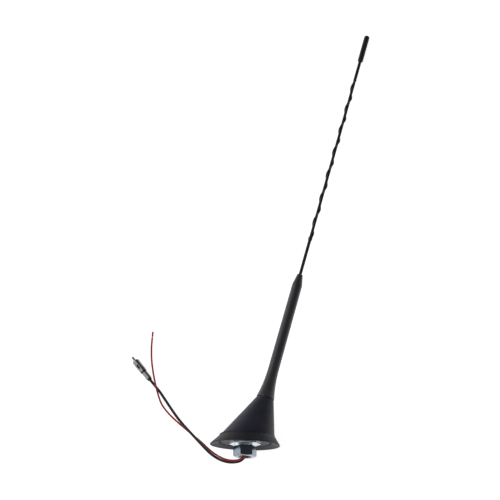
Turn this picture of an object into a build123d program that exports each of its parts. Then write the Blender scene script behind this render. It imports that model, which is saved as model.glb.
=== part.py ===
from build123d import *
import os
from math import asin, cos, degrees, radians, sin, sqrt, tan

# Car roof antenna with its amplifier foot, clamp and pigtail leads, lying loose on a flat surface.
# Every piece is drawn in the roof's frame: z = 0 is the roof sheet's top, z runs up the clamp stud's
# axis, and the mast leans towards +x.  At the end all pieces are laid down together: the stud axis
# becomes the y axis, and the antenna is rolled about it until its tip and its skirt touch the surface.
# Lengths are in millimetres and angles in degrees.

# Fits
press_gap = 0.02
running_gap = 0.05
seat_gap = 0.2

# Sealing skirt
rim_length = 75.5
rim_width = 54.0
rim_edge = 0.9
rim_lip = 2.0
seam_length = 59.2
seam_width = 46.0
seam_shift = 2.2
seam_height = 10.0
pad_thickness = 4.5
groove_length = 57.0
groove_width = 40.5
groove_span = 1.6
groove_depth = 1.2
dish_depth = 2.6

# Foot housing
foot_top_x = 21.4
foot_top_z = 51.9
foot_top_diameter = 19.2
foot_top_round = 0.8
foot_wall = 2.2
foot_crown = 13.0
foot_band_height = 1.4
foot_band_step = 0.35
mast_lean = 14.85

# Base plate and its screws
plate_thickness = 3.5
plate_boss_diameter = 34.0
post_diameter = 4.0
post_height = 3.5
peg_diameter = 2.4
peg_stand = 0.8
post_places = (-12.5, 16.5)
screw_diameter = 2.9
screw_head_diameter = 5.6
screw_length = 11.0
screw_places = ((-20.0, 0.0), (11.0, 15.0), (11.0, -15.0))
screw_boss_diameter = 6.8

# Clamp stud, washer and nut
stud_diameter = 13.9
stud_bore = 10.0
stud_flange_diameter = 20.0
stud_flange_thickness = 1.5
stud_end = 11.5
washer_thickness = 1.5
washer_top = 2.4
washer_points = 8
washer_diameter = 33.6
washer_root_diameter = 29.6
nut_across_flats = 22.0
nut_height = 11.0
nut_flange_height = 2.4
nut_flange_diameter = 27.0
nut_flange_small = 23.5
nut_chamfer = 30.0
nut_turn = -2.0
washer_turn = -10.0

# Amplifier board
board_length = 34.0
board_width = 18.0
board_thickness = 1.6
board_corner = 2.0
board_shift = 2.0
choke_diameter = 4.6
choke_height = 5.0
choke_place = (-8.0, 0.0)
chip_size = (5.0, 4.0, 1.4)
chip_place = (2.0, -4.5)
capacitor_size = (2.0, 1.25, 1.0)
capacitor_places = ((-3.0, 5.0), (1.5, 5.0), (6.0, 5.0), (7.5, -4.5))

# Mast socket and its contact strip
socket_diameter = 9.0
socket_length = 15.0
socket_sink = 0.3
socket_depth = 10.0
strip_thickness = 0.5
strip_width = 4.0
strip_foot = 5.0
strip_pad = 3.0
strip_bend = 1.2

# Mast
mast_length = 449.2
seal_diameter = 17.0
seal_thickness = 0.7
thread_diameter = 5.0
thread_length = 8.0
ferrule_diameter = 8.0
ferrule_length = 26.0
core_diameter = 2.6
core_socket = 16.0
boot_length = 147.0
boot_foot_diameter = 19.4
boot_foot_edge = 0.9
boot_waist_diameter = 11.9
boot_waist_height = 35.0
boot_shoulder_diameter = 11.2
boot_cone = 13.0
boot_neck_diameter = 6.4
boot_neck_round = 0.8
sheath_diameter = 3.6
sheath_hold = 8.0
cap_diameter = 6.1
cap_length = 34.2
cap_chamfer = 0.9
cap_hold = 20.0
core_hold = 26.0

# Winding under the sheath
wire_diameter = 1.0
coil_start = 193.0
coil_turns = 7
coil_pitch_low = 30.2
coil_pitch_high = 26.4
coil_first_angle = -58.0
coil_sheath_diameter = 3.3
ridge_diameter = 1.9
ridge_blend = 0.5
ridge_end_diameter = 1.6
tie_diameter = 4.7
tie_length = 5.0

# Leads
coax_diameter = 3.0
power_diameter = 2.0
grommet_end = 5.5
grommet_length = 7.5
coax_hole = (1.6, 1.2)
power_hole = (0.6, -2.4)
slug_length = 5.4
slug_gap = 1.2
strand_diameter = 1.1
lead_exit = 4.5
lead_gap = 0.4
plug_run = 7.0

# Radio plug, measured from its cable end
plug_place = (-104.4, 76.2)
plug_heading = (-0.627, 0.779)
bush_diameter = 5.0
bush_length = 2.2
sleeve_diameter = 6.3
sleeve_length = 8.6
sleeve_wall = 0.6
collar_diameter = 6.9
collar_length = 1.6
barrel_diameter = 8.0
barrel_length = 15.2
barrel_wall = 0.7
barrel_round = 1.6
window_length = 5.0
window_width = 2.4
window_start = 4.0
window_turn = -24.0
pin_diameter = 2.9
pin_length = 5.2
insulator_length = 5.0

# Derived places
plate_top = pad_thickness + plate_thickness
board_base = plate_top + post_height
board_top = board_base + board_thickness
washer_base = washer_top - washer_thickness
nut_top = washer_base
nut_hex_top = nut_top - nut_flange_height
nut_base = nut_hex_top - nut_height
foot_top = Plane(
    origin=(foot_top_x, 0, foot_top_z),
    x_dir=(cos(radians(mast_lean)), 0, -sin(radians(mast_lean))),
    z_dir=(sin(radians(mast_lean)), 0, cos(radians(mast_lean))),
)
mast_frame = foot_top.location
mast_base = seal_thickness
mast_top = mast_base + mast_length
sheath_base = mast_base + boot_length - sheath_hold
sheath_top = mast_top - cap_length + cap_hold
core_base = mast_base + ferrule_length - core_socket
core_top = mast_top - cap_length + core_hold


def lying_roll():
    # the roll at which the tip's round end and the skirt's rim are equally low
    cap_r = cap_diameter / 2
    tip_x = foot_top_x + (mast_top - cap_r) * sin(radians(mast_lean))
    half_a = rim_length / 2
    half_b = rim_width / 2
    square = tip_x**2 - half_a**2 + half_b**2
    line = 2 * tip_x * cap_r
    rest = cap_r**2 - half_b**2
    return degrees(asin((-line + sqrt(line**2 - 4 * square * rest)) / (2 * square)))


roll = lying_roll()
laid = Rot(0, roll, 0) * Rot(-90, 0, 0)
floor_z = -sqrt((rim_length / 2 * sin(radians(roll))) ** 2 + (rim_width / 2 * cos(radians(roll))) ** 2)


def laid_point(x, y, z):
    return (laid * Pos(x, y, z)).position


def rod(diameter, low, high):
    return Pos(0, 0, (low + high) / 2) * Cylinder(diameter / 2, high - low)


def turned(*outline):
    # solid of revolution about z, from an outline of (radius, height) points
    return revolve(Plane.XZ * make_face(Polyline(*outline, close=True)), Axis.Z)


def oval(length, width, height=0.0, shift=0.0):
    return Pos(shift, 0, height) * Ellipse(length / 2, width / 2)


# Foot
def foot_housing():
    lower = oval(seam_length, seam_width, seam_height, seam_shift)
    upper = mast_frame * Circle(foot_top_diameter / 2)
    body = loft([lower, upper], ruled=True)
    body = fillet(body.edges().sort_by(Axis.Z)[-1], foot_top_round)
    inner_lower = oval(seam_length - 2 * foot_wall, seam_width - 2 * foot_wall, seam_height, seam_shift)
    inner_upper = mast_frame * Circle(foot_top_diameter / 2 - foot_wall)
    reach = foot_top_z + seam_length
    above = mast_frame * Pos(0, 0, reach / 2 - foot_crown) * Box(reach, reach, reach)
    shell = body - (loft([inner_lower, inner_upper], ruled=True) - above)
    step = 2 * foot_band_step
    band = oval(seam_length + step, seam_width + step, seam_height, seam_shift) - inner_lower
    shell += extrude(band, foot_band_height)
    for x, y in screw_places:
        shell += Pos(x, y, 0) * rod(screw_boss_diameter, plate_top, seam_height)
        shell += (Pos(x, y, 0) * rod(screw_boss_diameter, seam_height, foot_top_z)) & body
    socket_hole = rod(socket_diameter + 2 * press_gap, -foot_crown - socket_diameter, foot_top_diameter)
    shell -= mast_frame * socket_hole
    for x, y in screw_places:
        hole_top = pad_thickness + screw_length + seat_gap
        shell -= Pos(x, y, 0) * rod(screw_diameter + 2 * press_gap, plate_top - 1, hole_top)
    return shell


def roof_gasket():
    rim = oval(rim_length, rim_width)
    step = 2 * foot_band_step
    skirt = loft([
        oval(rim_length, rim_width, rim_edge),
        oval(seam_length + step, seam_width + step, seam_height, seam_shift),
    ], ruled=True)
    pocket = oval(seam_length - 2 * foot_wall, seam_width - 2 * foot_wall, pad_thickness, seam_shift)
    pad = extrude(rim, rim_edge) + skirt - extrude(pocket, seam_height)
    pad -= rod(plate_boss_diameter + 2 * seat_gap, -1, pad_thickness + 1)
    outer = oval(groove_length, groove_width)
    inner = oval(groove_length - 2 * groove_span, groove_width - 2 * groove_span)
    dish = oval(rim_length - 2 * rim_lip, rim_width - 2 * rim_lip)
    pad -= loft([dish, Pos(0, 0, dish_depth) * outer], ruled=True)
    pad -= extrude(outer - inner, dish_depth + groove_depth)
    return pad


# Base plate, stud and fasteners
def screw(gap):
    # countersunk screw standing on its head at z = 0, grown by a gap all round
    head_r = screw_head_diameter / 2 + gap
    shank_r = screw_diameter / 2 + gap
    head = head_r - shank_r
    return turned((0, 0), (head_r, 0), (shank_r, head), (shank_r, screw_length), (0, screw_length))


def base_plate():
    trim = 2 * (foot_wall + seat_gap)
    plate = extrude(oval(seam_length - trim, seam_width - trim, pad_thickness, seam_shift), plate_thickness)
    plate += rod(plate_boss_diameter, washer_top, pad_thickness)
    for x in post_places:
        plate += Pos(x, 0, 0) * rod(post_diameter, plate_top, board_base)
        plate += Pos(x, 0, 0) * rod(peg_diameter, board_base, board_top + peg_stand)
    plate -= rod(stud_diameter + 2 * press_gap, 0, plate_top + 1)
    for x, y in screw_places:
        plate -= Pos(x, y, pad_thickness) * screw(press_gap)
    return plate


def base_screws():
    return [Pos(x, y, pad_thickness) * screw(0) for x, y in screw_places]


def threaded_stud():
    shank = rod(stud_diameter, -stud_end, plate_top)
    shank += rod(stud_flange_diameter, plate_top, plate_top + stud_flange_thickness)
    edge = shank.edges().filter_by(GeomType.CIRCLE).sort_by(Axis.Z)[0]
    shank = chamfer(edge, (stud_diameter - stud_bore) / 8)
    return shank - rod(stud_bore, -stud_end - 1, plate_top + stud_flange_thickness + 1)


def claw_washer():
    points = []
    for i in range(2 * washer_points):
        r = (washer_diameter if i % 2 == 0 else washer_root_diameter) / 2
        turn = radians(washer_turn + 180 * i / washer_points)
        points.append((r * cos(turn), r * sin(turn)))
    star = make_face(Polyline(*points, close=True)) - Circle(stud_diameter / 2 + seat_gap)
    return extrude(Pos(0, 0, washer_base) * star, washer_thickness)


def clamp_nut():
    flat_r = nut_across_flats / 2
    corner_r = flat_r / cos(radians(30))
    drop = (corner_r - flat_r) * tan(radians(nut_chamfer))
    hexagon = Rot(0, 0, nut_turn) * RegularPolygon(flat_r, 6, major_radius=False)
    block = extrude(Pos(0, 0, nut_base) * hexagon, nut_height)
    block &= turned(
        (0, nut_base), (flat_r, nut_base), (corner_r, nut_base + drop), (corner_r, nut_hex_top), (0, nut_hex_top)
    )
    small_r = nut_flange_small / 2
    block += turned((0, nut_hex_top), (small_r, nut_hex_top), (nut_flange_diameter / 2, nut_top), (0, nut_top))
    return block - rod(stud_diameter + 2 * running_gap, nut_base - 1, nut_top + 1)


# Amplifier
def amplifier_board():
    outline = RectangleRounded(board_length, board_width, board_corner)
    board = extrude(Pos(board_shift, 0, board_base) * outline, board_thickness)
    for x in post_places:
        board -= Pos(x, 0, 0) * rod(peg_diameter + 2 * running_gap, board_base - 1, board_top + 1)
    return board


def board_parts():
    bottom = (Align.CENTER, Align.CENTER, Align.MIN)
    parts = [Pos(*choke_place, board_top) * Cylinder(choke_diameter / 2, choke_height, align=bottom)]
    parts.append(Pos(*chip_place, board_top) * Box(*chip_size, align=bottom))
    parts += [Pos(*place, board_top) * Box(*capacitor_size, align=bottom) for place in capacitor_places]
    return parts


def mast_socket():
    top = -socket_sink
    body = rod(socket_diameter, top - socket_length, top)
    body -= rod(thread_diameter + 2 * running_gap, top - socket_depth, top + 1)
    return mast_frame * body


def contact_strip():
    # bent strip from the socket's lower end along the mast's axis to a foot on the board
    lean = radians(mast_lean)
    half = strip_thickness / 2
    drop = socket_sink + socket_length + half
    head_x = foot_top_x - drop * sin(lean)
    head_z = foot_top_z - drop * cos(lean)
    foot_z = board_top + half
    foot_x = head_x - (head_z - foot_z) * tan(lean)
    path = FilletPolyline(
        (foot_x - strip_foot, foot_z),
        (foot_x, foot_z),
        (head_x, head_z),
        (head_x + strip_pad * cos(lean), head_z - strip_pad * sin(lean)),
        radius=strip_bend,
    )
    ribbon = Plane.XZ * trace(path, strip_thickness)
    return extrude(ribbon, strip_width / 2, both=True)


# Mast
def mast_seal_ring():
    return mast_frame * (rod(seal_diameter, 0, seal_thickness) - rod(thread_diameter + 2 * seat_gap, -1, 2))


def mast_ferrule():
    body = rod(ferrule_diameter, mast_base, mast_base + ferrule_length)
    body += rod(thread_diameter, mast_base - thread_length, mast_base)
    body = chamfer(body.edges().filter_by(GeomType.CIRCLE).sort_by(Axis.Z)[0], thread_diameter / 8)
    return mast_frame * (body - rod(core_diameter + 2 * press_gap, core_base, mast_base + ferrule_length + 1))


def grip_boot():
    foot_r = boot_foot_diameter / 2
    waist = (boot_waist_diameter / 2, boot_waist_height)
    shoulder = (boot_shoulder_diameter / 2, boot_length - boot_cone)
    neck_r = boot_neck_diameter / 2
    bore_r = ferrule_diameter / 2 + press_gap
    core_r = core_diameter / 2 + press_gap
    sheath_r = sheath_diameter / 2 + press_gap
    low = boot_length - sheath_hold
    lines = Polyline((bore_r, 0), (foot_r, 0), (foot_r, boot_foot_edge))
    lines += TangentArc(waist, (foot_r, boot_foot_edge), tangent=(0, -1))
    lines += Polyline(
        waist, shoulder, (neck_r, boot_length - boot_neck_round),
        (neck_r - boot_neck_round, boot_length), (sheath_r, boot_length), (sheath_r, low),
        (core_r, low), (core_r, ferrule_length), (bore_r, ferrule_length), (bore_r, 0),
    )
    boot = revolve(Plane.XZ * make_face(lines), Axis.Z)
    return mast_frame * Pos(0, 0, mast_base) * boot


def core_rod():
    return mast_frame * rod(core_diameter, core_base, core_top)


def coil_turns_list():
    # start height, pitch and start angle of each turn of the winding, closing up towards the tip
    turns = []
    height = coil_start
    for i in range(coil_turns):
        share = i / (coil_turns - 1) if coil_turns > 1 else 0
        pitch = coil_pitch_low + (coil_pitch_high - coil_pitch_low) * share
        turns.append((height, pitch))
        height += pitch
    return turns, height


def twisted(section):
    # the section, turned once about the mast's axis in each turn of the winding
    turns, _ = coil_turns_list()
    pieces = []
    for height, pitch in turns:
        face = Pos(0, 0, height) * Rot(0, 0, coil_first_angle) * section
        pieces.append(Solid.extrude_linear_with_rotation(face.face(), (0, 0, height), (0, 0, pitch), 360))
    return pieces[0].fuse(*pieces[1:]) if len(pieces) > 1 else pieces[0]


def wire_offset():
    return core_diameter / 2 + press_gap + wire_diameter / 2


def antenna_winding():
    return mast_frame * twisted(Pos(wire_offset(), 0) * Circle(wire_diameter / 2))


def mast_sheath():
    _, coil_end = coil_turns_list()
    ridge = Pos(wire_offset(), 0) * Circle(ridge_diameter / 2)
    section = Circle(coil_sheath_diameter / 2) + ridge
    section = fillet(section.vertices(), ridge_blend)
    cover = twisted(section)
    channel = Circle(core_diameter / 2 + press_gap) + Pos(wire_offset(), 0) * Circle(wire_diameter / 2 + press_gap)
    cover -= twisted(channel)
    bore = core_diameter + 2 * press_gap
    rod_r = sheath_diameter / 2
    tie_r = tie_diameter / 2
    low = turned(
        (bore / 2, sheath_base), (rod_r, sheath_base), (rod_r, coil_start - tie_length),
        (tie_r, coil_start - tie_length / 2), (tie_r, coil_start), (bore / 2, coil_start),
    )
    dome = Sphere(ridge_end_diameter / 2, 0, align=(Align.CENTER, Align.CENTER, Align.MIN))
    ridge_end = Rot(0, 0, coil_first_angle) * Pos(wire_offset(), 0) * dome
    high = rod(sheath_diameter, coil_end, sheath_top) + Pos(0, 0, coil_end) * ridge_end
    high -= rod(bore, coil_end - 1, sheath_top + 1)
    return mast_frame * (cover + low + high)


def tip_cap():
    cap_r = cap_diameter / 2
    base = mast_top - cap_length
    bore_r = sheath_diameter / 2 + press_gap
    core_r = core_diameter / 2 + press_gap
    dome = mast_top - cap_r
    lines = Polyline((bore_r, base), (cap_r - cap_chamfer, base), (cap_r, base + cap_chamfer), (cap_r, dome))
    lines += RadiusArc((cap_r, dome), (0, mast_top), -cap_r)
    lines += Polyline(
        (0, mast_top), (0, core_top + seat_gap), (core_r, core_top + seat_gap),
        (core_r, sheath_top + seat_gap), (bore_r, sheath_top + seat_gap), (bore_r, base),
    )
    return mast_frame * revolve(Plane.XZ * make_face(lines), Axis.Z)


# Leads inside the foot
def inner_lead(place, diameter):
    return Pos(*place, 0) * rod(diameter, -grommet_end, board_base)


def cable_grommet():
    plug = rod(stud_bore - 2 * press_gap, -grommet_end, grommet_length - grommet_end)
    for place, diameter in ((coax_hole, coax_diameter), (power_hole, power_diameter)):
        plug -= Pos(*place, 0) * rod(diameter + 2 * press_gap, -grommet_end - 1, grommet_length)
    return plug


# Free leads, given where they lie, with heights above the surface
def lead_path(start, points):
    leave = start + Vector(0, -lead_exit, 0)
    return [start, leave] + [Vector(x, y, floor_z + h) for x, y, h in points]


def lead_tube(points, diameter):
    radii = []
    for before, here, after in zip(points, points[1:], points[2:]):
        into = here - before
        out = after - here
        half_turn = into.get_angle(out) / 2
        radii.append(0.45 * min(into.length, out.length) / tan(radians(half_turn)))
    path = FilletPolyline(*points, radius=radii)
    start = Plane(origin=points[0], z_dir=points[1] - points[0])
    tube = sweep(start * Circle(diameter / 2), path=path)
    share = tube.volume / (path.length * 3.14159265 * diameter**2 / 4)
    print("lead", diameter, "length", round(path.length, 1), "volume share", round(share, 4))
    print("radii", [round(r, 1) for r in radii])
    return tube


coax_r = coax_diameter / 2
power_r = power_diameter / 2
plug_axis = barrel_diameter / 2
coax_over = power_diameter + coax_r + 2 * lead_gap
power_over = plug_axis + coax_r + power_r + lead_gap
plug_back = (plug_place[0] - plug_run * plug_heading[0], plug_place[1] - plug_run * plug_heading[1])
coax_points = lead_path(
    laid_point(*coax_hole, -grommet_end),
    (
        (-3.5, -16.2, 23.4),
        (-11.5, -17.7, 21.4),
        (-20.1, -16.8, 19.4),
        (-28.7, -13.2, 17.2),
        (-37.5, -6.8, 14.8),
        (-46.3, 2.7, 12.2),
        (-55.2, 12.8, 9.4),
        (-64.1, 22.5, 6.8),
        (-73.1, 33.3, coax_over),
        (-82.1, 46.3, 2.6),
        (-89.5, 57.6, coax_r),
        (-94.2, 64.2, 2.0),
        (*plug_back, plug_axis),
        (*plug_place, plug_axis),
    ),
)
power_points = lead_path(
    laid_point(*power_hole, -grommet_end),
    (
        (-4.0, -15.5, 27.4),
        (-12.0, -16.1, 25.6),
        (-21.2, -13.7, 21.8),
        (-31.0, -8.3, 16.6),
        (-39.8, -0.8, 11.8),
        (-48.1, 8.0, 7.8),
        (-56.4, 14.9, 4.8),
        (-64.2, 21.9, 2.4),
        (-74.2, 30.5, power_r),
        (-84.2, 40.0, power_r),
        (-91.6, 49.4, power_r),
        (-95.0, 58.4, 3.4),
        (-97.0, 65.1, power_over),
        (-99.1, 73.2, power_over),
        (-101.8, 86.4, 3.0),
        (-103.7, 98.8, power_r),
        (-104.2, 110.6, power_r),
        (-104.0, 119.0, power_r),
        (-103.6, 124.6, power_r),
    ),
)


def wire_end(low, high, diameter):
    # a stretch of the power lead's end, measured on from the end of its jacket
    heading = power_points[-1] - power_points[-2]
    return Plane(origin=power_points[-1], z_dir=heading).location * rod(diameter, low, high)


def wire_end_slug():
    return wire_end(slug_gap, slug_gap + slug_length, power_diameter)


# Radio plug, lying on its barrel
plug_frame = Plane(
    origin=(*plug_place, floor_z + plug_axis),
    x_dir=(-plug_heading[1], plug_heading[0], 0),
    z_dir=(*plug_heading, 0),
).location
sleeve_base = bush_length
collar_base = sleeve_base + sleeve_length
barrel_base = collar_base + collar_length
barrel_top = barrel_base + barrel_length


def plug_bush():
    return plug_frame * rod(bush_diameter, 0, bush_length)


def plug_sleeve():
    sleeve = rod(sleeve_diameter, sleeve_base, collar_base)
    core = rod(sleeve_diameter - 2 * sleeve_wall, sleeve_base + sleeve_wall, collar_base + 1)
    return plug_frame * (sleeve - core)


def plug_collar():
    return plug_frame * rod(collar_diameter, collar_base, barrel_base)


def plug_barrel():
    barrel = rod(barrel_diameter, barrel_base, barrel_top)
    barrel = fillet(barrel.edges().filter_by(GeomType.CIRCLE).sort_by(Axis.Z)[-1], barrel_round)
    inside = barrel_diameter - 2 * barrel_wall
    barrel -= rod(inside, barrel_base - 1, barrel_top - insulator_length)
    barrel -= rod(inside - 2 * barrel_wall, barrel_base, barrel_top + 1)
    middle = barrel_base + window_start + window_length / 2
    window = Pos(0, barrel_diameter / 2, middle) * Box(window_width, barrel_diameter, window_length)
    barrel -= Rot(0, 0, window_turn) * window
    return plug_frame * barrel


def plug_insulator():
    inside = barrel_diameter - 4 * barrel_wall - 2 * press_gap
    bead = rod(inside, barrel_top - insulator_length, barrel_top)
    return plug_frame * (bead - rod(pin_diameter + 2 * press_gap, barrel_base, barrel_top + 1))


def plug_pin():
    pin = rod(pin_diameter, barrel_base, barrel_top + pin_length)
    tip = pin.edges().filter_by(GeomType.CIRCLE).sort_by(Axis.Z)[-1]
    return plug_frame * fillet(tip, pin_diameter / 2.2)


# Nodes drawn in the roof's frame, then laid down, and nodes drawn where they lie
standing = {
    "foot_housing": foot_housing(),
    "roof_gasket": roof_gasket(),
    "base_plate": base_plate(),
    "threaded_stud": threaded_stud(),
    "claw_washer": claw_washer(),
    "clamp_nut": clamp_nut(),
    "amplifier_board": amplifier_board(),
    "mast_socket": mast_socket(),
    "contact_strip": contact_strip(),
    "cable_grommet": cable_grommet(),
    "coax_inner": inner_lead(coax_hole, coax_diameter),
    "power_inner": inner_lead(power_hole, power_diameter),
    "mast_seal_ring": mast_seal_ring(),
    "mast_ferrule": mast_ferrule(),
    "grip_boot": grip_boot(),
    "core_rod": core_rod(),
    "antenna_winding": antenna_winding(),
    "mast_sheath": mast_sheath(),
    "tip_cap": tip_cap(),
}
lying = {
    "coax_cable": lead_tube(coax_points, coax_diameter),
    "power_wire": lead_tube(power_points, power_diameter),
    "wire_strands": wire_end(0, slug_gap, strand_diameter),
    "wire_end_slug": wire_end_slug(),
    "plug_bush": plug_bush(),
    "plug_sleeve": plug_sleeve(),
    "plug_collar": plug_collar(),
    "plug_barrel": plug_barrel(),
    "plug_insulator": plug_insulator(),
    "plug_pin": plug_pin(),
}
groups = {
    "base_screws": base_screws(),
    "board_parts": board_parts(),
}
nodes = {name: laid * shape for name, shape in standing.items()} | lying
for name, shapes in groups.items():
    nodes[name] = Compound([(laid * shape).solid() for shape in shapes])

os.makedirs("parts", exist_ok=True)
for name, shape in nodes.items():
    export_step(shape, f"parts/{name}.step")
print("roll", round(roll, 3), "surface", round(floor_z, 3))
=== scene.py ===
from math import cos, pi, radians, sin

import bmesh
import bpy
from mathutils import Matrix, Vector


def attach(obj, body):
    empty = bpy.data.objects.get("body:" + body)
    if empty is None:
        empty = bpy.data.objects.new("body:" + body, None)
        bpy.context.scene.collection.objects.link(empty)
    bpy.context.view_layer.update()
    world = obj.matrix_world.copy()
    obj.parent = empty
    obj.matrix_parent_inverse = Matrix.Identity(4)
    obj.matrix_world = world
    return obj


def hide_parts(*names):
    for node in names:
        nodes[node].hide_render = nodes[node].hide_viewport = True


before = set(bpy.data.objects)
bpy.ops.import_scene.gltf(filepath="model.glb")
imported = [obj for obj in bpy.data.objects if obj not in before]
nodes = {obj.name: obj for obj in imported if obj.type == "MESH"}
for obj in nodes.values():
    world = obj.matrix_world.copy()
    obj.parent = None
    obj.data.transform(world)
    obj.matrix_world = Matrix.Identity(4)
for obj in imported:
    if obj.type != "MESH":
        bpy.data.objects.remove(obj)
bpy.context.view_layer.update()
MM = 0.001


def set_stops(ramp, stops):
    while len(ramp.elements) < len(stops):
        ramp.elements.new(1.0)
    for element, (place, colour) in zip(ramp.elements, stops):
        element.position = place
        element.color = (*colour, 1.0)


class Value:
    """A socket in a finish's node tree; arithmetic on it adds Math nodes."""

    def __init__(self, finish, socket):
        self.finish = finish
        self.socket = socket

    def math(self, operation, *terms):
        return self.finish.node("ShaderNodeMath", {"operation": operation}, dict(enumerate(terms)))

    def __add__(self, other):
        return self.math("ADD", self, other)

    __radd__ = __add__

    def __mul__(self, other):
        return self.math("MULTIPLY", self, other)

    __rmul__ = __mul__

    def __sub__(self, other):
        return self.math("SUBTRACT", self, other)

    def __rsub__(self, other):
        return self.math("SUBTRACT", other, self)

    def __gt__(self, other):
        return self.math("GREATER_THAN", self, other)

    def fade(self, low, high):
        settings = {"interpolation_type": "SMOOTHSTEP"}
        inputs = {0: self, 1: low, 2: high, 3: 0.0, 4: 1.0}
        return self.finish.node("ShaderNodeMapRange", settings, inputs)


class Finish:
    """One material: a principled surface, and what varies over it."""

    def __init__(self, name, **surface):
        self.material = bpy.data.materials.new(name)
        self.material.use_nodes = True
        self.tree = self.material.node_tree
        self.tree.nodes.clear()
        inputs = {key.replace("_", " "): value for key, value in surface.items()}
        shader = self.node("ShaderNodeBsdfPrincipled", {}, inputs)
        self.surface = shader.socket.node
        self.node("ShaderNodeOutputMaterial", {}, {"Surface": shader})

    def node(self, kind, settings, inputs, output=0):
        made = self.tree.nodes.new(kind)
        for key, value in settings.items():
            if key == "stops":
                set_stops(made.color_ramp, value)
            else:
                setattr(made, key, value)
        for key, value in inputs.items():
            socket = made.inputs[key]
            if isinstance(value, Value):
                self.tree.links.new(value.socket, socket)
            else:
                socket.default_value = value
        return Value(self, made.outputs[output]) if made.outputs else None

    def varies(self, socket, value):
        self.tree.links.new(value.socket, self.surface.inputs[socket])

    def place(self):
        return self.node("ShaderNodeTexCoord", {}, {}, "Object")

    def normal(self):
        return self.node("ShaderNodeTexCoord", {}, {}, "Normal")

    def noise(self, scale, detail=2.0, roughness=0.5):
        inputs = {
            "Vector": self.place(), "Scale": scale, "Detail": detail, "Roughness": roughness,
        }
        return self.node("ShaderNodeTexNoise", {}, inputs)

    def cells(self, scale):
        return self.node("ShaderNodeTexVoronoi", {}, {"Vector": self.place(), "Scale": scale})

    def along(self, axis, vector):
        return self.node("ShaderNodeSeparateXYZ", {}, {0: vector}, axis)

    def colours(self, value, *stops):
        return self.node("ShaderNodeValToRGB", {"stops": stops}, {0: value})

    def bump(self, height, distance):
        inputs = {"Height": height, "Distance": distance, "Strength": 1.0}
        self.varies("Normal", self.node("ShaderNodeBump", {}, inputs))


# Finishes
RUBBER_GRAIN = 900.0
RUBBER_DEPTH = 0.05 * MM
PLATE_CLOUD = 220.0
PLATE_DEPTH = 0.02 * MM
ZINC_LOW = (0.6, 0.68, 0.73)
ZINC_HIGH = (0.76, 0.84, 0.89)
BLACK = (0.007, 0.007, 0.008)
SOOT = (0.015, 0.015, 0.017)


def moulded_foot():
    finish = Finish("moulded_foot", Roughness=0.5, IOR=1.4)
    tone = finish.noise(60.0, 3.0)
    stops = (0.3, (0.017, 0.018, 0.03)), (0.75, (0.034, 0.036, 0.058))
    finish.varies("Base Color", finish.colours(tone, *stops))
    finish.varies("Roughness", 0.44 + 0.14 * tone)
    finish.bump(finish.noise(1500.0), 0.08 * MM)
    return finish.material


def soft_rubber(name, low, high, grip):
    finish = Finish(name, Roughness=grip, IOR=1.5)
    tone = finish.noise(45.0, 4.0, 0.6)
    finish.varies("Base Color", finish.colours(tone, (0.3, low), (0.75, high)))
    finish.varies("Roughness", grip - 0.08 + 0.16 * tone)
    finish.bump(finish.noise(RUBBER_GRAIN), RUBBER_DEPTH)
    return finish.material


def pad_rubber():
    # painted shade: near black in the underside's groove, which lies above the dish and faces down
    # or sideways, where its walls would be in shadow
    dish_top, most_upward = 2.75 * MM, 0.3
    finish = Finish("gasket_rubber", Roughness=0.55, IOR=1.5)
    tone = finish.noise(45.0, 4.0, 0.6)
    height = finish.along("Y", finish.place())
    facing = finish.along("Y", finish.normal())
    # painted shade: this mask turns the groove near black in the base colour and rougher
    painted_groove_shade = (height > dish_top) * (most_upward - facing > 0.0)
    stops = (
        (0.0, (0.001, 0.001, 0.001)),
        (0.3, (0.01, 0.0105, 0.018)),
        (0.75, (0.018, 0.019, 0.032)),
    )
    finish.varies("Base Color", finish.colours(tone * (1.0 - painted_groove_shade), *stops))
    finish.varies("Roughness", 0.47 + 0.16 * tone + 0.3 * painted_groove_shade)
    finish.bump(finish.noise(RUBBER_GRAIN), RUBBER_DEPTH)
    return finish.material


def plated(name, low, high, gloss, smear=PLATE_CLOUD, depth=PLATE_DEPTH):
    finish = Finish(name, Metallic=1.0, Roughness=gloss)
    cloud = finish.noise(smear, 4.0, 0.6)
    finish.varies("Base Color", finish.colours(cloud, (0.3, low), (0.7, high)))
    finish.varies("Roughness", gloss - 0.05 + 0.12 * finish.noise(smear * 3, 3.0))
    finish.bump(finish.noise(smear * 2.5), depth)
    return finish.material


def nut_plate():
    # painted light: the hexagon is painted a duller, darker plating colour as its dark
    # reflections, under a flange painted bright as its highlight
    hexagon_top, flange_base = -1.9 * MM, -1.2 * MM
    finish = Finish("nut_plate", Metallic=1.0, Roughness=0.2)
    cloud = finish.noise(PLATE_CLOUD, 4.0, 0.6)
    # painted highlight on the flange and painted dark reflection on the hexagon, from the height
    # in the roof frame
    painted_flange_highlight = finish.along("Y", finish.place()).fade(hexagon_top, flange_base)
    stops = (
        (0.12, (0.22, 0.26, 0.3)),
        (0.28, (0.3, 0.35, 0.4)),
        (0.72, ZINC_LOW),
        (0.88, ZINC_HIGH),
    )
    finish.varies("Base Color", finish.colours(0.4 * cloud + 0.6 * painted_flange_highlight, *stops))
    finish.varies("Roughness", 0.15 + 0.12 * finish.noise(PLATE_CLOUD * 3, 3.0))
    finish.bump(finish.noise(PLATE_CLOUD * 2.5), PLATE_DEPTH)
    return finish.material


def jacket(name, low, high, gloss):
    finish = Finish(name, Roughness=gloss, IOR=1.5)
    tone = finish.noise(120.0, 3.0)
    finish.varies("Base Color", finish.colours(tone, (0.3, low), (0.7, high)))
    finish.varies("Roughness", gloss - 0.06 + 0.14 * finish.noise(400.0))
    finish.bump(finish.noise(500.0), 0.04 * MM)
    return finish.material


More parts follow.
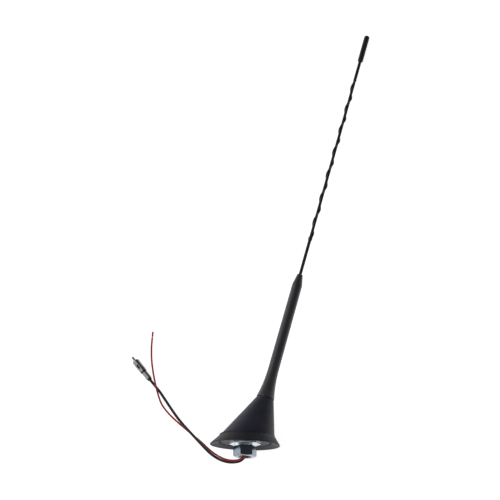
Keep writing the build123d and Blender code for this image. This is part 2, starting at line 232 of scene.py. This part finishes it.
def laminate():
    finish = Finish("board_laminate", Roughness=0.35, IOR=1.5)
    weave = finish.cells(700.0)
    stops = (0.0, (0.01, 0.09, 0.03)), (0.8, (0.02, 0.16, 0.05))
    finish.varies("Base Color", finish.colours(weave, *stops))
    finish.varies("Roughness", 0.3 + 0.2 * weave)
    return finish.material


finishes = {
    "foot": moulded_foot(),
    "boot": soft_rubber("boot_rubber", (0.044, 0.04, 0.047), (0.072, 0.067, 0.076), 0.4),
    "gasket": pad_rubber(),
    "sheath": soft_rubber("sheath_shrink", BLACK, SOOT, 0.42),
    "cap": soft_rubber("cap_moulding", BLACK, SOOT, 0.55),
    "zinc": plated("zinc_plate", ZINC_LOW, ZINC_HIGH, 0.2),
    "nut": nut_plate(),
    "steel": plated("stud_steel", (0.5, 0.51, 0.53), (0.66, 0.67, 0.69), 0.3),
    "alloy": plated("cast_alloy", (0.42, 0.42, 0.43), (0.55, 0.55, 0.56), 0.5, 400.0, 0.08 * MM),
    "brass": plated("turned_brass", (0.6, 0.42, 0.16), (0.75, 0.55, 0.24), 0.25),
    "copper": plated("winding_copper", (0.62, 0.3, 0.16), (0.78, 0.4, 0.22), 0.25),
    "nickel": plated("nickel_plate", (0.3, 0.31, 0.31), (0.44, 0.45, 0.45), 0.3),
    "laminate": laminate(),
    "chip": soft_rubber("chip_moulding", (0.01, 0.01, 0.01), (0.02, 0.02, 0.02), 0.5),
    "fibre": jacket("glass_fibre", (0.5, 0.46, 0.34), (0.62, 0.58, 0.46), 0.4),
    "coax": jacket("coax_jacket", (0.006, 0.006, 0.007), (0.012, 0.012, 0.014), 0.36),
    "red": jacket("red_jacket", (0.45, 0.012, 0.014), (0.56, 0.02, 0.022), 0.5),
    "plug_black": jacket("plug_moulding", (0.008, 0.008, 0.009), (0.016, 0.016, 0.018), 0.35),
}
wears = {
    "foot": "foot_housing",
    "boot": "grip_boot mast_seal_ring cable_grommet",
    "gasket": "roof_gasket",
    "sheath": "mast_sheath",
    "cap": "tip_cap",
    "zinc": "claw_washer",
    "nut": "clamp_nut",
    "steel": "threaded_stud base_screws",
    "alloy": "base_plate",
    "brass": "mast_socket mast_ferrule contact_strip",
    "copper": "antenna_winding wire_strands",
    "nickel": "plug_sleeve plug_barrel plug_pin",
    "laminate": "amplifier_board",
    "chip": "board_parts",
    "fibre": "core_rod",
    "coax": "coax_cable coax_inner plug_bush",
    "red": "power_wire power_inner wire_end_slug",
    "plug_black": "plug_collar plug_insulator",
}


def wear(piece, finish):
    piece.data.materials.clear()
    piece.data.materials.append(finishes[finish])


def added(name, shape, node, body, finish):
    piece = bpy.data.objects.new(name, shape)
    bpy.context.collection.objects.link(piece)
    wear(piece, finish)
    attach(piece, body)
    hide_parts(node)
    return piece


for finish, names in wears.items():
    for name in names.split():
        wear(nodes[name], finish)


# Where things are, in mm: the roof's frame laid down on the surface
roll = radians(10.325)
mast_lean = radians(14.85)
foot_top_x, foot_top_z = 21.4, 51.9
floor_z = -27.411
lead_exit = 4.5
coax_diameter = 3.0
power_diameter = 2.0


def laid(x, y, z):
    return Vector((x * cos(roll) - y * sin(roll), z, -x * sin(roll) - y * cos(roll)))


def route(start, *points):
    leave = start + Vector((0, -lead_exit, 0))
    return [start, leave] + [Vector((x, y, floor_z + h)) for x, y, h in points]


def from_mast(x, y, z):
    across = x * cos(mast_lean) + z * sin(mast_lean)
    along = z * cos(mast_lean) - x * sin(mast_lean)
    return laid(foot_top_x + across, y, foot_top_z + along)


# Leads
coax_route = route(
    laid(1.6, 1.2, -5.5),
    (-3.5, -16.2, 23.4),
    (-11.5, -17.7, 21.4),
    (-20.1, -16.8, 19.4),
    (-28.7, -13.2, 17.2),
    (-37.5, -6.8, 14.8),
    (-46.3, 2.7, 12.2),
    (-55.2, 12.8, 9.4),
    (-64.1, 22.5, 6.8),
    (-73.1, 33.3, 4.3),
    (-82.1, 46.3, 2.6),
    (-89.5, 57.6, 1.5),
    (-94.2, 64.2, 2.0),
    (-100.011, 70.747, 4.0),
    (-104.4, 76.2, 4.0),
)
power_route = route(
    laid(0.6, -2.4, -5.5),
    (-4.0, -15.5, 27.4),
    (-12.0, -16.6, 25.6),
    (-21.2, -14.6, 21.8),
    (-31.0, -8.6, 16.6),
    (-39.8, -0.8, 11.8),
    (-48.1, 8.0, 7.8),
    (-56.4, 14.9, 4.8),
    (-64.2, 21.9, 2.4),
    (-74.2, 30.5, 1.0),
    (-84.2, 40.0, 1.0),
    (-91.6, 49.4, 1.0),
    (-95.0, 58.4, 3.4),
    (-97.0, 65.1, 6.9),
    (-99.1, 73.2, 6.9),
    (-101.8, 86.4, 3.0),
    (-103.7, 98.8, 1.0),
    (-104.2, 110.6, 1.0),
    (-104.0, 119.0, 1.0),
    (-103.6, 124.6, 1.0),
)


def lead(name, node, points, diameter, finish):
    curve = bpy.data.curves.new(name, "CURVE")
    curve.dimensions = "3D"
    line = curve.splines.new("NURBS")
    line.points.add(len(points) - 1)
    for place, point in zip(line.points, points):
        place.co = (*(point * MM), 1.0)
    line.order_u = 3
    line.use_endpoint_u = True
    line.resolution_u = 8
    curve.bevel_depth = diameter / 2 * MM
    curve.bevel_resolution = 5
    curve.use_fill_caps = True
    return added(name, curve, node, "base", finish)


coax = lead("aerial_lead", "coax_cable", coax_route, coax_diameter, "coax")
power = lead("supply_lead", "power_wire", power_route, power_diameter, "red")


# Pieces drawn finer than their solids
STEPS_PER_TURN = 36


def stand_in(shape, name, node, body, finish):
    mesh = bpy.data.meshes.new(name)
    shape.to_mesh(mesh)
    shape.free()
    for face in mesh.polygons:
        face.use_smooth = True
    mesh.set_sharp_from_angle(angle=radians(40))
    added(name, mesh, node, body, finish)


def spun(shape, points, turns=1.0, rise=0.0, loop=False):
    verts = [shape.verts.new((r, 0, z)) for r, z in points]
    pairs = list(zip(verts, verts[1:] + verts[:1]))
    edges = [shape.edges.new(pair) for pair in (pairs if loop else pairs[:-1])]
    steps = round(STEPS_PER_TURN * turns)
    bmesh.ops.spin(
        shape, geom=verts + edges, cent=(0, 0, 0), axis=(0, 0, 1), dvec=(0, 0, rise / steps),
        angle=2 * pi * turns, steps=steps, use_merge=rise == 0.0, use_normal_flip=False,
        use_duplicate=False,
    )


def threaded_ferrule():
    # brass body with its bore, and the M5 thread as a ridge round the core of its stud
    base, top, low = 0.7, 26.7, -7.3
    body_r, bore_r, bore_base = 4.0, 1.32, 10.7
    core_r, crest_r, end_r, end_height = 2.07, 2.5, 1.875, 0.2
    pitch, turns, start = 0.8, 8.5, low + 0.75
    half_root, half_crest, root_r = 0.35, 0.05, core_r - 0.05
    shape = bmesh.new()
    bore = [(0, bore_base), (bore_r, bore_base), (bore_r, top)]
    body = [(body_r, top), (body_r, base)]
    stud = [(core_r, base), (core_r, low + end_height), (end_r, low), (0, low)]
    spun(shape, bore + body + stud)
    bmesh.ops.remove_doubles(shape, verts=shape.verts, dist=0.001)
    bmesh.ops.recalc_face_normals(shape, faces=shape.faces)
    if shape.calc_volume(signed=True) < 0:
        bmesh.ops.reverse_faces(shape, faces=shape.faces)
    turned = set(shape.faces)
    ridge = [
        (root_r, start - half_root),
        (crest_r, start - half_crest),
        (crest_r, start + half_crest),
        (root_r, start + half_root),
    ]
    spun(shape, ridge, turns, pitch * turns, loop=True)
    bmesh.ops.holes_fill(shape, edges=[e for e in shape.edges if e.is_boundary], sides=4)
    bmesh.ops.recalc_face_normals(shape, faces=[f for f in shape.faces if f not in turned])
    for vert in shape.verts:
        vert.co = from_mast(*vert.co) * MM
    stand_in(shape, "threaded_ferrule", "mast_ferrule", "mast", "brass")


def eased(name, node, ease, finish):
    # the solid's own mesh with its sharp edges broken
    shape = bmesh.new()
    shape.from_mesh(nodes[node].data)
    bmesh.ops.remove_doubles(shape, verts=shape.verts, dist=0.002 * MM)
    bmesh.ops.dissolve_limit(shape, angle_limit=radians(1.0), verts=shape.verts, edges=shape.edges)
    shared = [e for e in shape.edges if len(e.link_faces) == 2]
    sharp = [e for e in shared if e.calc_face_angle() > radians(24)]
    bmesh.ops.bevel(
        shape, geom=sharp, offset=ease * MM, offset_type="OFFSET", affect="EDGES", segments=3,
        profile=0.5, material=-1, clamp_overlap=True,
    )
    bmesh.ops.recalc_face_normals(shape, faces=shape.faces)
    stand_in(shape, name, node, "base", finish)


eased("plated_nut", "clamp_nut", 0.4, "nut")
threaded_ferrule()
eased("plated_washer", "claw_washer", 0.2, "zinc")


# Surface, light and camera
LIGHTS_AIM = Vector((0, 0.15, 0))


def surface():
    shape = bmesh.new()
    bmesh.ops.create_grid(shape, x_segments=1, y_segments=1, size=6.0)
    bmesh.ops.translate(shape, verts=shape.verts, vec=(0, 0, floor_z * MM - 0.0001))
    mesh = bpy.data.meshes.new("surface")
    shape.to_mesh(mesh)
    shape.free()
    piece = bpy.data.objects.new("surface", mesh)
    bpy.context.collection.objects.link(piece)
    pale = Finish(
        "pale_surface", Roughness=0.9, Base_Color=(0.9, 0.9, 0.9, 1.0), Specular_IOR_Level=0.0,
        Emission_Color=(1.0, 1.0, 1.0, 1.0), Emission_Strength=0.9,
    )
    mesh.materials.append(pale.material)


def softbox(name, place, size, power):
    light = bpy.data.lights.new(name, "AREA")
    light.shape = "RECTANGLE"
    light.size, light.size_y = size
    light.energy = power
    lamp = bpy.data.objects.new(name, light)
    lamp.location = place
    lamp.rotation_euler = (LIGHTS_AIM - Vector(place)).to_track_quat("-Z", "Y").to_euler()
    bpy.context.collection.objects.link(lamp)


def camera():
    eye = bpy.data.cameras.new("photo_eye")
    eye.sensor_width = 36.0
    eye.lens = 148.03
    eye.clip_start = 0.05
    eye.clip_end = 50.0
    view = bpy.data.objects.new("photo_eye", eye)
    rise, bank = radians(72.628), radians(0.7535)
    back = Vector((0, -cos(rise), sin(rise)))
    side = Vector((1, 0, 0))
    top = back.cross(side)
    right = cos(bank) * side + sin(bank) * top
    up = cos(bank) * top - sin(bank) * side
    place = Matrix((right, up, back)).transposed().to_4x4()
    place.translation = Vector((2.629, -457.12, 2160.766)) * MM
    view.matrix_world = place
    bpy.context.collection.objects.link(view)
    bpy.context.scene.camera = view


def room():
    # brightest at the horizon, dark overhead
    world = bpy.data.worlds.new("room")
    world.use_nodes = True
    tree = world.node_tree
    facing = tree.nodes.new("ShaderNodeTexCoord")
    split = tree.nodes.new("ShaderNodeSeparateXYZ")
    shade = tree.nodes.new("ShaderNodeValToRGB")
    levels = ((0.0, 0.45), (0.12, 0.3), (0.4, 0.1), (1.0, 0.06))
    stops = [(height, (level, level, level * 1.04)) for height, level in levels]
    set_stops(shade.color_ramp, stops)
    tree.links.new(facing.outputs["Generated"], split.inputs[0])
    tree.links.new(split.outputs["Z"], shade.inputs[0])
    tree.links.new(shade.outputs[0], tree.nodes["Background"].inputs["Color"])
    bpy.context.scene.world = world


surface()
softbox("left_softbox", (-1.25, -0.15, 1.45), (1.1, 2.4), 8.0)
softbox("boot_strip", (-1.41, 0.94, 0.98), (0.4, 1.3), 6.0)
softbox("right_softbox", (1.9, 0.3, 0.7), (0.5, 1.4), 0.4)
camera()
room()
bpy.context.scene.view_settings.view_transform = "Standard"
